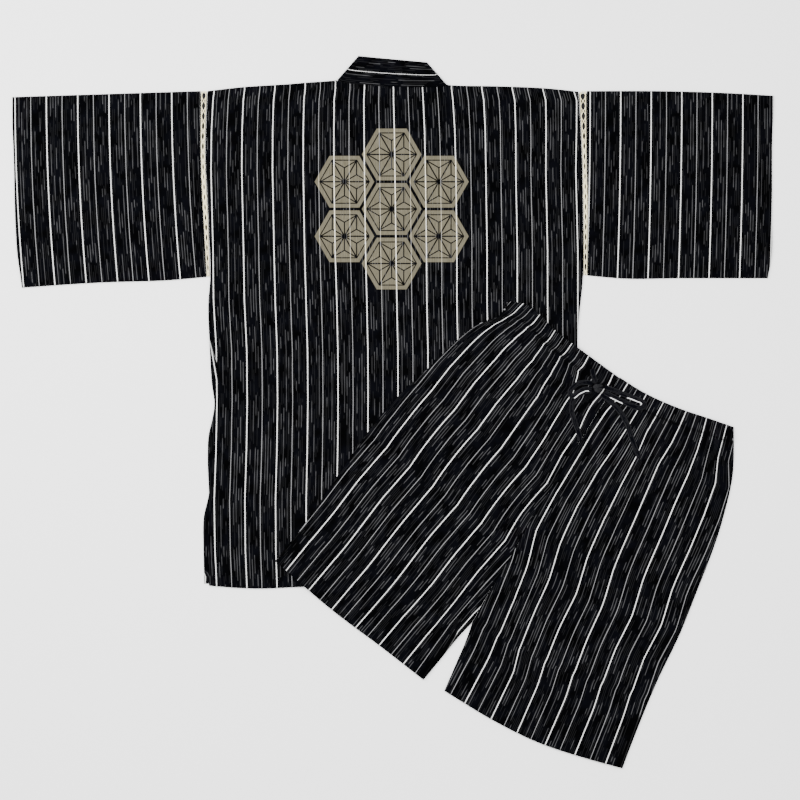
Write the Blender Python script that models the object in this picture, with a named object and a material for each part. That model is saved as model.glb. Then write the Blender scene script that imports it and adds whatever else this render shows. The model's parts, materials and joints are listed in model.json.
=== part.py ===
"""Jinbei set laid out flat: the jacket back up, the shorts front up across its lower right.

X runs to the right and Y away from the hems; Z is up from the table, and the origin is under the
middle of the set. Each panel rests on what lies below it, which a raster of heights remembers.
"""

import bpy
import numpy as np

# Cloth thickness and clearances, in metres.
WALL = 0.0012
COLLAR_WALL = 0.0020
CASING_WALL = 0.0028
HEM_WALL = 0.0020
LAYER_GAP = 0.0004
SEAM_GAP = 0.0005
CELL, FRONT_CELL = 0.027, 0.036
REACH, FRONT_REACH = 0.034, 0.046

# Driving sizes, in metres.
COLLAR_SLANT = np.radians(77)
CASING_DEPTH = 0.024
GATHER_HEIGHT = 0.0011
TUCK_HEIGHT = 0.0022
TIE_WIDTH, TIE_WALL = 0.018, 0.0016
STRING_WIDTH, STRING_WALL = 0.0075, 0.0022
KNOT_RADII = (0.0078, 0.0068, 0.0042)

# The share of each leg's length that is joined to the other leg, along rise and inside leg.
JOINED = 0.80

# Outlines as (x, y) in millimetres. The left is the wearer's: with the back up it lies at -X.
BODY_HEM_LEFT, BODY_HEM_RIGHT = (-276, -260), (276, -260)
SHOULDER_LEFT, SHOULDER_RIGHT = (-278, 482), (278, 481)
NECK_LEFT, NECK_RIGHT = (-84, 497), (81, 490)
SHOULDER_LINE_LEFT = (SHOULDER_LEFT, (-230, 487.5), (-155, 492.5), (-118, 495.5), NECK_LEFT)
SHOULDER_LINE_RIGHT = (NECK_RIGHT, (160, 489), (236, 485.5), SHOULDER_RIGHT)
ARMHOLE_LEFT = (SHOULDER_LEFT, (-281, 390), (-276, 272), (-274, 203))
ARMHOLE_RIGHT = (SHOULDER_RIGHT, (283, 390), (285, 290), (285, 205))
BODY_LEFT = (
    *ARMHOLE_LEFT, (-277, 165), (-275, 100), (-272, 45), (-268, 9), (-271, -10), (-276.5, -34), (-278, -65)
)
BACK_LEFT_SIDE = (*BODY_LEFT, (-276, -125), (-276, -190), BODY_HEM_LEFT)
BACK_RIGHT_SIDE = (*ARMHOLE_RIGHT, (278, 130), (277, 0), BODY_HEM_RIGHT)
BACK_HEM = (
    BODY_HEM_LEFT, (-240, -263), (-200, -264.5), (-160, -263), (-100, -260), (100, -260), BODY_HEM_RIGHT
)
FRONT_HEM_CORNER = (-283, -257)
FRONT_LEFT_SIDE = (*BODY_LEFT, (-276, -120), (-284, -158), (-284.5, -200), (-283.5, -240), FRONT_HEM_CORNER)

SLEEVE_LEFT = {
    "fold": ((-571, 473), (-289, 482)),
    "seam": ((-556.5, 187), (-440, 194.5), (-330, 198.5), (-280, 203)),
    "cuff": ((-571, 473), (-571, 435), (-569, 385), (-566.5, 285), (-563, 232), (-559.5, 208), (-556.5, 187)),
    "armhole": ((-289, 482), (-289, 390), (-284, 272), (-280, 203)),
    "body": ARMHOLE_LEFT,
}
SLEEVE_RIGHT = {
    "fold": ((571, 475), (500, 479), (424, 481.5), (291, 482)),
    "seam": ((562, 201), (430, 201), (345, 200.5), (292, 205)),
    "cuff": ((571, 475), (571, 458), (569.5, 430), (568.5, 300), (567, 228), (562, 201)),
    "armhole": ((291, 482), (291, 390), (293, 290), (292, 205)),
    "body": ARMHOLE_RIGHT,
}

# Where the collar's two creases cross it: the end on the neckline and the end on the free edge.
CREASE_LEFT = ((-84, 498), (-52, 534.5))
CREASE_RIGHT = ((81, 491), (51, 525))

RISE = ((340, 52), (306, -2), (266, -67), (240, -110), (206, -163), (178, -214), (146, -266), (119, -315))
LEG_RIGHT = {
    "waist": ((171, 167), (197, 163), (246, 121), (302, 79), (340, 52)),
    "hem": ((-177, -223), (-90, -298), (-18, -352), (46, -401)),
    "side": (
        (171, 167), (162, 148), (129, 133), (60, 73), (-13, 2), (-75, -83), (-132, -167), (-177, -223)
    ),
    "inside": ((119, -315), (100.5, -334.5), (70.5, -371.5), (46, -401)),
}
LEG_LEFT = {
    "waist": ((511, -22), (471, -8), (435, 4), (369, 34), (340, 52)),
    "hem": ((344, -534), (296, -521), (212, -493), (149, -461.5), (76.5, -418)),
    "side": (
        (511, -22), (511.4, -50), (510, -90), (494.5, -161), (451, -281), (431, -331), (397, -402),
        (358, -497), (344, -534)
    ),
    "inside": ((119, -315), (108, -345), (93, -380), (76.5, -418)),
}

# Routes of the drawstring, as (x, y) in millimetres from the knot outwards.
KNOT = (308, 36.5)
STRING_ROUTES = {
    "drawstring_tail_left": (
        (300, 33), (285, 30), (273, 22), (268, 8), (272, -12), (278, -29), (281, -43)
    ),
    "drawstring_tail_right": (
        (312, 28), (324, 18), (340, 2), (351, -17), (357, -36), (364, -55), (370, -69)
    ),
    "drawstring_loop_left": (
        (300, 42.5), (290, 45), (279, 43.5), (270, 37.5), (265.5, 29.5), (268.5, 24), (279, 30.5),
        (290, 35), (299.5, 34)
    ),
    "drawstring_loop_right": (
        (317, 38.5), (330, 33.5), (349, 26), (365, 20), (375, 15), (377, 9.5), (370.5, 6.5), (358, 10.4),
        (346, 15.8), (327, 25), (317, 30)
    ),
}

COTTON = ((0.008, 0.009, 0.014), 0.85)
TAPE_THREAD = ((0.62, 0.57, 0.45), 0.8)


def smooth(points, steps=12):
    """A curve through the points, as many more points: cubic stretches that share their slopes."""
    points = np.array(points, float)
    length = np.linalg.norm(np.diff(points, axis=0), axis=1)[:, None]
    slope = np.diff(points, axis=0) / length
    inner = (slope[:-1] * length[1:] + slope[1:] * length[:-1]) / (length[1:] + length[:-1])
    slopes = np.concatenate((slope[:1], inner, slope[-1:]))
    t = (np.arange(steps) / steps)[None, :, None]
    start, end = points[:-1, None], points[1:, None]
    out = slopes[:-1, None] * length[:, None]
    into = slopes[1:, None] * length[:, None]
    cubic = (
        (2 * t**3 - 3 * t**2 + 1) * start
        + (t**3 - 2 * t**2 + t) * out
        + (3 * t**2 - 2 * t**3) * end
        + (t**3 - t**2) * into
    )
    return np.concatenate((cubic.reshape(-1, points.shape[1]), points[-1:]))


def along(points, shares):
    """The points that lie at these shares of the length of the smooth curve through points."""
    curve = smooth(points)
    length = np.concatenate(((0,), np.cumsum(np.linalg.norm(np.diff(curve, axis=0), axis=1))))
    return np.stack([np.interp(shares, length / length[-1], axis) for axis in curve.T], -1)


def patch(near, far, left, right, u, v):
    """A Coons patch, (v, u, 2): near and far hold a point for each u, left and right for each v."""
    u, v = u[None, :, None], v[:, None, None]
    corners = (1 - v) * ((1 - u) * near[0] + u * near[-1]) + v * ((1 - u) * far[0] + u * far[-1])
    return (1 - v) * near + v * far + (1 - u) * left[:, None] + u * right[:, None] - corners


def shares(length, cell=CELL):
    """Even shares from 0 to 1, one for each cell of the length."""
    return np.linspace(0, 1, max(2, round(length / cell) + 1))


class Pile:
    """The height of what lies on the table, on a square raster, one tier of pieces after another.

    Pieces of one tier lie beside each other, so a piece rests on the finished tiers alone.
    """

    STEP = 0.004
    LOW = np.array((-0.60, -0.56))
    CELLS = (301, 281)

    def __init__(self):
        self.height = np.zeros(self.CELLS)
        self.tier = self.height.copy()

    def finish_tier(self):
        self.height = np.maximum(self.height, self.tier)

    def add(self, surface, fine=10):
        """Adds a face (rows, columns, 3) to this tier, sampled on its own triangles."""
        s, t = (np.arange(fine + 1) / fine)[:, None], (np.arange(fine + 1) / fine)[None, :]
        corners = surface[:-1, :-1], surface[:-1, 1:], surface[1:, :-1], surface[1:, 1:]
        a, b, c, d = (points[:, :, None, None] for points in corners)
        s, t = s[..., None], t[..., None]
        first = a + s * (c - a) + t * (b - a)
        second = d + (1 - s) * (b - d) + (1 - t) * (c - d)
        points = np.where(s + t <= 1, first, second).reshape(-1, 3)
        cell = np.rint((points[:, :2] - self.LOW) / self.STEP).astype(int)
        np.maximum.at(self.tier, (cell[:, 0], cell[:, 1]), points[:, 2])

    def under(self, plan, reach=REACH):
        """How high the underside of a sheet lies at each point of plan: above all within reach."""
        reach = int(np.ceil(reach / self.STEP))
        height = self.height
        for axis in (0, 1):
            height = np.max([np.roll(height, k, axis) for k in range(-reach, reach + 1)], axis=0)
        cell = np.rint((plan - self.LOW) / self.STEP).astype(int)
        below = height[cell[..., 0], cell[..., 1]]
        return np.where(below > 0, below + LAYER_GAP, 0.0)


pile = Pile()


def material(name, colour, roughness):
    made = bpy.data.materials.new(name)
    made.use_nodes = True
    shader = made.node_tree.nodes["Principled BSDF"]
    shader.inputs["Base Color"].default_value = (*colour, 1)
    shader.inputs["Roughness"].default_value = roughness
    return made


def add_solid(name, points, faces, finish):
    """A mesh object from points and triangles, turned outwards by the sign of its volume."""
    corners = points[faces]
    volume = np.einsum("ij,ij->i", corners[:, 0], np.cross(corners[:, 1], corners[:, 2])).sum()
    mesh = bpy.data.meshes.new(name)
    mesh.from_pydata(points.tolist(), [], (faces if volume > 0 else faces[:, ::-1]).tolist())
    mesh.materials.append(material(name, *finish))
    bpy.context.scene.collection.objects.link(bpy.data.objects.new(name, mesh))


def add_sheet(name, outer, inner, finish=COTTON):
    """A closed wall between two faces of the same (rows, columns), joined all round their rim."""
    rows, columns = outer.shape[:2]
    count = rows * columns
    index = np.arange(count).reshape(rows, columns)
    a, b, c, d = index[:-1, :-1], index[:-1, 1:], index[1:, :-1], index[1:, 1:]
    face = np.concatenate((np.stack((a, b, c), -1).reshape(-1, 3), np.stack((b, d, c), -1).reshape(-1, 3)))
    rim = np.concatenate((index[0], index[1:, -1], index[-1, -2::-1], index[-2:0:-1, 0]))
    after = np.roll(rim, -1)
    walls = np.concatenate(
        (np.stack((after, rim, rim + count), -1), np.stack((after, rim + count, after + count), -1))
    )
    faces = np.concatenate((face, face[:, ::-1] + count, walls))
    add_solid(name, np.concatenate((outer.reshape(-1, 3), inner.reshape(-1, 3))), faces, finish)


def raised(plan, height):
    return np.concatenate((plan, np.broadcast_to(height, plan.shape[:2])[..., None]), -1)


def lay_flat(name, plan, wall=WALL, relief=0.0, reach=REACH):
    """A single layer with this plan (rows, columns, 2) on top of the pile."""
    under = pile.under(plan, reach) + relief
    bottom, top = raised(plan, under), raised(plan, under + wall)
    add_sheet(name, top, bottom)
    pile.add(top)


def bend(side, inwards, low, high, angles):
    """Rows of a half-round bend from height low to high, its outmost point on side (columns, 2)."""
    radius = (high - low)[:, None] / 2
    middle = side + inwards * radius
    rows = [
        np.concatenate(
            (middle - inwards * radius * np.cos(angle), (low + high)[:, None] / 2 + radius * np.sin(angle)),
            -1,
        )
        for angle in angles
    ]
    return np.array(rows)


def lay_folded(name, plan, low=0.0, wall=WALL, relief=0.0, finish=COTTON):
    """Two layers folded along the first row of plan, the upper on the lower, whose underside is low."""
    low = np.broadcast_to(low, plan.shape[:2])
    wall = np.broadcast_to(wall, low.shape)
    inside_low = low + wall
    inside_high = inside_low + LAYER_GAP + relief
    high = inside_high + wall
    inwards = plan[1] - plan[0]
    inwards /= np.linalg.norm(inwards, axis=-1, keepdims=True)
    angles = np.radians((-90, -45, 0, 45, 90))
    faces = []
    for below, above in ((low, high), (inside_low, inside_high)):
        turn = bend(plan[0] + inwards * (below[0] - low[0])[:, None], inwards, below[0], above[0], angles)
        faces.append(np.concatenate((raised(plan, below)[:0:-1], turn, raised(plan, above)[1:])))
    add_sheet(name, *faces, finish)
    return raised(plan, high)


def strip(start, direction, length, width, side):
    """The plan of a straight strip: rows along it, its second column width away towards side."""
    steps = shares(length)[:, None] * length * direction
    return np.stack((start + steps, start + steps + width * side), 1)


def mm(points):
    return np.array(points, float) / 1000


def tie_plan(start, end):
    """A straight tie from start to end, in millimetres."""
    start, end = mm(start), mm(end)
    length = np.linalg.norm(end - start)
    direction = (end - start) / length
    side = np.array((-direction[1], direction[0]))
    return strip(start - side * TIE_WIDTH / 2, direction, length, TIE_WIDTH, side)


def collar_arm(crease, lean):
    """Plan of one arm, rows from its crease to the hem; column 0 is sewn to the front."""
    direction = np.array((lean * np.cos(COLLAR_SLANT), -np.sin(COLLAR_SLANT)))
    ends = mm(crease)
    across = ends[0] + (ends[1] - ends[0]) * shares(0.05)[:, None]
    length = (across[:, 1] + 0.258) / np.sin(COLLAR_SLANT)
    return across + shares(0.79)[:, None, None] * length[:, None] * direction


def front_plan(shoulder, side, arm):
    """Plan of a front: from its side to the collar, rows from the shoulder to the hem."""
    u, v = shares(0.26, FRONT_CELL), shares(0.75, FRONT_CELL)
    edge = arm[:, 0] - SEAM_GAP * np.array((np.sign(arm[0, 1, 0] - arm[0, 0, 0]), 0))
    edge = np.concatenate((edge[:1] - (0, 0.0005), edge[1:]))
    inner = along(edge[[0, -1]], v)
    outer = along(mm(side), v)
    return patch(
        along((mm(shoulder), inner[0]), u), along((outer[-1], inner[-1]), u), outer, inner, u, v
    )


def lay_jacket():
    """Ties and fronts first, then the collar's arms beside them, the back, the band and the sleeves."""
    arms = [collar_arm(CREASE_LEFT, 1), collar_arm(CREASE_RIGHT, -1)]
    lay_flat("tie_front", tie_plan((74, 16), (262, -42)), TIE_WALL)
    lay_flat("tie_side", tie_plan((272, 66), (72, 96)), TIE_WALL)
    pile.finish_tier()
    heights = []
    fronts = (
        ("front_left", SHOULDER_LEFT, FRONT_LEFT_SIDE, arms[0]),
        ("front_right", SHOULDER_RIGHT, BACK_RIGHT_SIDE, arms[1]),
    )
    for name, shoulder, side, arm in fronts:
        under = pile.under(arm)
        lay_flat(name, front_plan(shoulder, side, arm), reach=FRONT_REACH)
        pile.add(raised(arm, under + COLLAR_WALL))
        pile.finish_tier()
        heights.append(under)
    lay_back()
    lay_collar(arms, heights)
    for side, sleeve in (("left", SLEEVE_LEFT), ("right", SLEEVE_RIGHT)):
        lay_sleeve(side, sleeve)
    pile.finish_tier()


def lay_back():
    """The one-piece back, with the small tuck that lies across its left edge below the armhole."""
    across = (SHOULDER_LINE_LEFT, (NECK_LEFT, NECK_RIGHT), SHOULDER_LINE_RIGHT)
    top = [along(mm(ends), shares(np.ptp(mm(ends)[:, 0]))) for ends in across]
    top = np.concatenate((top[0], top[1][1:], top[2][1:]))
    u = (top[:, 0] - top[0, 0]) / np.ptp(top[:, 0])
    v = shares(0.75)
    plan = patch(
        top, along(mm(BACK_HEM), u), along(mm(BACK_LEFT_SIDE), v), along(mm(BACK_RIGHT_SIDE), v), u, v
    )
    tuck = np.exp(-(((plan[..., 0] + 0.268) / 0.016) ** 2) - ((plan[..., 1] - 0.085) / 0.035) ** 2)
    lay_flat("back", plan, relief=TUCK_HEIGHT * tuck)


def lay_collar(arms, heights):
    """One strip: the left arm up from the hem, round its crease, the band, and down the right arm."""
    across = shares(0.05)
    left, right = arms[0][0], arms[1][0]
    u = shares(0.13)
    band = left[None] + (right - left)[None] * u[:, None, None]
    inset = LAYER_GAP / 2 + COLLAR_WALL
    outwards = (left - right) / np.linalg.norm(left - right, axis=-1, keepdims=True)
    band[0], band[-1] = left - outwards * inset, right + outwards * inset
    low = pile.under(band)
    angles = np.radians((-60, -20, 20, 60))
    faces = []
    for arm_extra, band_extra, way in ((0.0, COLLAR_WALL, 1), (COLLAR_WALL, 0.0, -1)):
        middle = raised(band, low + band_extra)
        ends = []
        for arm, under, crease, side in ((arms[0], heights[0], left, 1), (arms[1], heights[1], right, -1)):
            at = 0 if side > 0 else -1
            below, above = under[0] + arm_extra, low[at] + band_extra
            drop = COLLAR_WALL if way < 0 else 0.0
            turn = bend(crease - side * outwards * drop, -side * outwards, below, above, angles)
            ends.append(np.concatenate((raised(arm, under + arm_extra)[:0:-1], turn)))
        faces.append(np.concatenate((ends[0], middle, ends[1][::-1])))
    add_sheet("collar", *faces)
    pile.add(raised(band, low + COLLAR_WALL))


def lay_sleeve(side, sleeve):
    """A sleeve, folded along its top, and the openwork tape that joins it to the armhole."""
    u, v = shares(0.28), shares(0.28)
    edges = {name: mm(points) for name, points in sleeve.items()}
    plan = patch(
        along(edges["fold"], u), along(edges["seam"], u),
        along(edges["cuff"], v), along(edges["armhole"], v), u, v
    )
    lay_folded(f"sleeve_{side}", plan)
    inwards = np.array((-np.sign(plan[0, 0, 0]), 0))
    near = along(edges["armhole"], v) + SEAM_GAP * inwards
    far = along(edges["body"], v) - 2 * SEAM_GAP * inwards
    lay_folded(f"armhole_tape_{side}", np.stack((near, far), 1), finish=TAPE_THREAD)


def leg_plan(leg, inwards):
    """Plan of a leg's front half, (columns, rows, 2): column 0 is its side fold."""
    v = np.concatenate(
        ((0, 0.022, 0.045, 0.067), JOINED * np.linspace(0, 1, 18)[2:], (0.87, 0.94, 0.97, 1))
    )
    u = np.linspace(0, 1, 17)
    joined = v <= JOINED
    inner = np.concatenate(
        (
            along(mm(RISE), v[joined] / JOINED),
            along(mm(leg["inside"]), (v[~joined] - JOINED) / (1 - JOINED)),
        )
    )
    inner = inner - SEAM_GAP * inwards
    ends = {name: mm(leg[name]) for name in ("waist", "hem")}
    ends["waist"][-1], ends["hem"][-1] = inner[0], inner[-1]
    side = along(mm(leg["side"]), v)
    return patch(along(ends["waist"], u), along(ends["hem"], u), side, inner, u, v).swapaxes(0, 1), v


def lay_leg(name, leg, inwards):
    """A leg folded at its side, its top the gathered casing, its foot a turned hem."""
    plan, v = leg_plan(leg, np.array(inwards))
    depth = v * 0.545
    casing = np.clip((CASING_DEPTH + 0.012 - depth) / 0.012, 0, 1)
    hem = np.clip((depth - 0.525) / 0.012, 0, 1)
    wall = WALL + (CASING_WALL - WALL) * casing + (HEM_WALL - WALL) * hem
    fade = np.clip(1 - (depth - CASING_DEPTH) / 0.05, 0, 1)
    ridge = np.where(np.arange(plan.shape[0]) % 2 == 1, 1.0, 0.0)
    relief = GATHER_HEIGHT * ridge[:, None] * fade[None]
    pile.add(lay_folded(name, plan, pile.under(plan), wall[None], relief))


def lay_string(name, route):
    """A flat tie that follows its route over the shorts, its width level."""
    middle = along(mm(route), shares(np.linalg.norm(np.diff(mm(route), axis=0), axis=1).sum(), 0.006))
    heading = np.gradient(middle, axis=0)
    side = np.stack((-heading[:, 1], heading[:, 0]), -1) / np.linalg.norm(heading, axis=1, keepdims=True)
    plan = np.stack((middle - side * STRING_WIDTH / 2, middle + side * STRING_WIDTH / 2), 1)
    under = pile.under(plan, 0.009).max(axis=1, keepdims=True)
    bottom, top = raised(plan, under), raised(plan, under + STRING_WALL)
    add_sheet(name, top, bottom)
    return top


def lay_bow():
    """The knot, both tails, and the two loops, which lie over them."""
    pile.finish_tier()
    centre = mm(KNOT)
    base = pile.under(centre[None, None], 0.016)[0, 0]
    turn, rise = np.meshgrid(np.linspace(0, 2 * np.pi, 17)[:-1], np.radians((-60, -30, 0, 30, 60)))
    ring = np.stack((np.cos(turn) * np.cos(rise), np.sin(turn) * np.cos(rise), np.sin(rise)), -1)
    points = np.concatenate((ring.reshape(-1, 3), ((0, 0, -1), (0, 0, 1)))) * KNOT_RADII
    points += (*centre, base + KNOT_RADII[2])
    index = np.arange(80).reshape(5, 16)
    after = np.roll(index, -1, axis=1)
    sides = [
        np.stack((index[:-1], after[:-1], after[1:]), -1),
        np.stack((index[:-1], after[1:], index[1:]), -1),
    ]
    caps = [
        np.stack((after[0], index[0], np.full(16, 80)), -1),
        np.stack((index[-1], after[-1], np.full(16, 81)), -1),
    ]
    add_solid("drawstring_knot", points, np.concatenate([f.reshape(-1, 3) for f in sides + caps]), COTTON)
    laid = [lay_string(name, STRING_ROUTES[name]) for name in STRING_ROUTES if "tail" in name]
    for top in laid:
        pile.add(top)
    pile.finish_tier()
    for name in STRING_ROUTES:
        if "loop" in name:
            lay_string(name, STRING_ROUTES[name])


for obj in list(bpy.data.objects):
    bpy.data.objects.remove(obj)
lay_jacket()
shorts = (("leg_right", LEG_RIGHT, (0.84, 0.54)), ("leg_left", LEG_LEFT, (-0.84, -0.54)))
for leg_name, leg_edges, towards_seam in shorts:
    lay_leg(leg_name, leg_edges, towards_seam)
lay_bow()
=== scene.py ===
"""The looks of a jinbei set laid flat: striped slub cotton, openwork tape and a tied drawstring.

Each panel is a grid of points over its outline, laid on a raster of heights that remembers what is
below it, and given a thin wall. Its UV map is the cloth itself, in metres: U runs across the stripes
and V along them, so the stripes bend with the cloth.
"""

import json

import bpy
import numpy as np
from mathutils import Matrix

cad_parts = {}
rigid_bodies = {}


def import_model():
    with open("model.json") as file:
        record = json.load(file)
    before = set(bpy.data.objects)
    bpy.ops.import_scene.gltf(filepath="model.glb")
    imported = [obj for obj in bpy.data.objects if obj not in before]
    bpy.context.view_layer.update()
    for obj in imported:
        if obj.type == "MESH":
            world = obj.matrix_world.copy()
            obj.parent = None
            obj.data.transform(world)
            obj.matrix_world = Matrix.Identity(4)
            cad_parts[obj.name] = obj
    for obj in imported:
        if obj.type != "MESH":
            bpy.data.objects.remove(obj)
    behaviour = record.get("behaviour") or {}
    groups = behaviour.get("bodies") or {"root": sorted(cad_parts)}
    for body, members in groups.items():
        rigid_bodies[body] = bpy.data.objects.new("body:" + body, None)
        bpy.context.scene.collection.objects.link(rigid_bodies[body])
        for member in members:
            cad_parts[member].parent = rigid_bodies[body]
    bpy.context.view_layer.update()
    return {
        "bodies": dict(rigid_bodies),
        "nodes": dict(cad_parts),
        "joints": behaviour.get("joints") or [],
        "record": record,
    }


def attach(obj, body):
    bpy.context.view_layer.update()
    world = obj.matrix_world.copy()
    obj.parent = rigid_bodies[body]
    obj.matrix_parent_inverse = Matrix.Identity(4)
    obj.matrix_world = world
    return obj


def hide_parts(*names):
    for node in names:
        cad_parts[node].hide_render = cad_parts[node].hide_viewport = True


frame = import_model()

# Cloth, in metres.
CLOTH, COLLAR_CLOTH, CASING_CLOTH, TIE_CLOTH = 0.0008, 0.0016, 0.0018, 0.0014
HEM_CLOTH = 0.0004
LAYER_GAP, SEAM_GAP = 0.0003, 0.0004
GRID = 0.0035
STRIPE = 0.0455
BOLD, GREY = 0.0014, 0.0008

# Driving sizes, in metres.
BODY_WIDTH, BODY_LENGTH, BODY_FOOT = 0.556, 0.75, 0.258
FRONT_WIDTH, FRONT_GRID = 0.37, 0.0055
SLEEVE_DEPTH, SLEEVE_LENGTH = 0.28, 0.285
COLLAR_SLANT = np.radians(77)
COLLAR_WIDTH, COLLAR_SAG = 0.038, 0.0055
COLLAR_ARM, COLLAR_BAND = 0.79, 0.13
CASING_DEPTH = 0.024
LEG_LENGTH, LEG_WIDTH = 0.545, 0.29
GATHER = 0.0165
HEM_DEPTH = 0.018
TIE_WIDTH = 0.018
STRING_WIDTH, STRING_THICKNESS = 0.0075, 0.0020
THREAD_RADIUS, DIAMOND = 0.00052, 0.0152
# The dark strip under the tape is this thick. It is painted shade seen through the tape's holes.
SHADE_STRIP = 0.0006
# The tape takes this share of the gap between its two seams, up to its width. It lies this high.
TAPE_SHARE, TAPE_WIDTH, TAPE_HEIGHT, TAPE_LENGTH = 0.80, 0.0084, 0.0022, 0.558
# How many points a thread has along it, how many uneven places, and how many rows the dark strip under the
# tape has: painted shade seen through the holes.
TAPE_POINTS, TAPE_KNOTS, SHADE_STRIP_ROWS = 744, 75, 60
PRINT_MIDDLE, TILE = (-0.002, 0.305), 0.0455

# The photograph shows 1.2 m of the table, and its middle is this far from the set's.
VIEW_WIDTH, VIEW_MIDDLE = 1.2, (0.0105, 0.0185)

# The share of each leg's length that is joined to the other leg, along rise and inside leg.
JOINED = 0.80

# Outlines as (x, y) in millimetres, as in the frame. The left is the wearer's, at -X.
BODY_HEM_LEFT, BODY_HEM_RIGHT = (-276, -260), (276, -260)
SHOULDER_LEFT, SHOULDER_RIGHT = (-278, 482), (278, 481)
NECK_LEFT, NECK_RIGHT = (-84, 497), (81, 490)
SHOULDER_LINE_LEFT = (SHOULDER_LEFT, (-230, 487.5), (-155, 492.5), (-118, 495.5), NECK_LEFT)
SHOULDER_LINE_RIGHT = (NECK_RIGHT, (160, 489), (236, 485.5), SHOULDER_RIGHT)
UNDER_LEFT, UNDER_RIGHT = (-79, 501), (76, 494)
ARMHOLE_LEFT = (SHOULDER_LEFT, (-281, 390), (-276, 272), (-274, 203))
ARMHOLE_RIGHT = (SHOULDER_RIGHT, (283, 390), (285, 290), (285, 205))
BODY_LEFT = (
    *ARMHOLE_LEFT, (-277, 165), (-275, 100), (-272, 45), (-268, 9), (-271, -10), (-276.5, -34), (-278, -65)
)
BACK_LEFT_SIDE = (*BODY_LEFT, (-276, -125), (-276, -190), BODY_HEM_LEFT)
BACK_RIGHT_SIDE = (*ARMHOLE_RIGHT, (278, 130), (277, 0), BODY_HEM_RIGHT)
BACK_HEM = (
    BODY_HEM_LEFT, (-240, -263), (-200, -264.5), (-160, -263), (-100, -260), (100, -260), BODY_HEM_RIGHT
)
FRONT_HEM_CORNER = (-283, -257)
FRONT_LEFT_SIDE = (
    *BODY_LEFT, (-276, -120), (-284, -158), (-284.5, -200), (-283.5, -240), FRONT_HEM_CORNER
)

# "stripes" is where the first bold stripe lies on the shoulder line, how far it leans towards +X
# on its way down, more and more, and how far apart the bold stripes lie on the table. "seeds" are
# for the sleeve's soft waves and for its tape's uneven threads.
SLEEVE_LEFT = {
    "fold": ((-571, 473), (-289, 482)),
    "seam": ((-556.5, 187), (-440, 194.5), (-330, 198.5), (-280, 203)),
    "cuff": (
        (-571, 473), (-571, 435), (-569, 385), (-566.5, 285), (-563, 232), (-559.5, 208), (-556.5, 187)
    ),
    "armhole": ((-289, 482), (-289, 390), (-284, 272), (-280, 203)),
    "body": ARMHOLE_LEFT,
    "stripes": (-567, 13, 47.0),
    "seeds": (7, 31),
}
SLEEVE_RIGHT = {
    "fold": ((571, 475), (500, 479), (424, 481.5), (291, 482)),
    "seam": ((562, 201), (430, 201), (345, 200.5), (292, 205)),
    "cuff": ((571, 475), (571, 458), (569.5, 430), (568.5, 300), (567, 228), (562, 201)),
    "armhole": ((291, 482), (291, 390), (293, 290), (292, 205)),
    "body": ARMHOLE_RIGHT,
    "stripes": (295.8, -5, 45.8),
    "seeds": (9, 37),
}

# Where the collar's two creases cross it: the end on the neckline and the end on the free edge.
CREASE_LEFT = ((-84, 498), (-52, 534.5))
CREASE_RIGHT = ((81, 491), (51, 525))

RISE = (
    (340, 52), (306, -2), (266, -67), (240, -110), (206, -163), (178, -214), (146, -266), (119, -315)
)
# "stripes" has a row for each place down the leg: its share of the leg's length, then how far each
# bold stripe lies from the side fold (leg_right) or from the rise (leg_left), in millimetres.
# "before" is the least distance from the first to the one before it, which a fold or a seam mostly
# hides. "inwards" is the way to the seam, square to it. The larger creases are each (start, end,
# width, height): lines in millimetres, sizes in metres.
LEG_RIGHT = {
    "waist": ((171, 167), (197, 163), (246, 121), (302, 79), (340, 52)),
    "hem": ((-177, -223), (-90, -298), (-18, -352), (46, -401)),
    "side": (
        (171, 167), (162, 148), (129, 133), (60, 73), (-13, 2), (-75, -83), (-132, -167), (-177, -223)
    ),
    "inside": ((119, -315), (100.5, -334.5), (70.5, -371.5), (46, -401)),
    "inwards": (0.84, 0.54),
    "from_rise": False,
    "creases": (
        ((190, -180), (120, -60), 0.008, 0.0022),
        ((185, -190), (60, -150), 0.010, 0.0018),
        ((170, -225), (110, -300), 0.006, 0.0020),
        ((126, -300), (88, -336), 0.004, 0.0016),
    ),
    "seed": 21,
    "before": 38,
    "stripes": (
        (0.00, 25, 55, 88, 120, 151, 197, 235),
        (0.05, 13, 48, 83, 114, 148, 196, 234),
        (0.11, 20, 59, 101, 135, 178, 211, 256),
        (0.18, 22, 65, 109, 149, 190, 228, 278),
        (0.27, 24, 68, 113, 157, 202, 237, 282),
        (0.36, 32, 77, 122, 167, 213, 253, 293),
        (0.47, 37, 81, 126, 172, 217, 257, 297),
        (0.56, 38, 83, 128, 174, 219, 263, 307),
        (0.67, 31, 76, 122, 167, 213, 256, 297),
        (0.78, 27, 72, 117, 163, 209, 252, 285),
        (0.84, 24, 70, 115, 161, 205, 249, 281),
        (0.90, 22, 68, 113, 159, 202, 247, 285),
        (1.00, 22, 67, 112, 157, 201, 247, 292),
    ),
}
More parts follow.
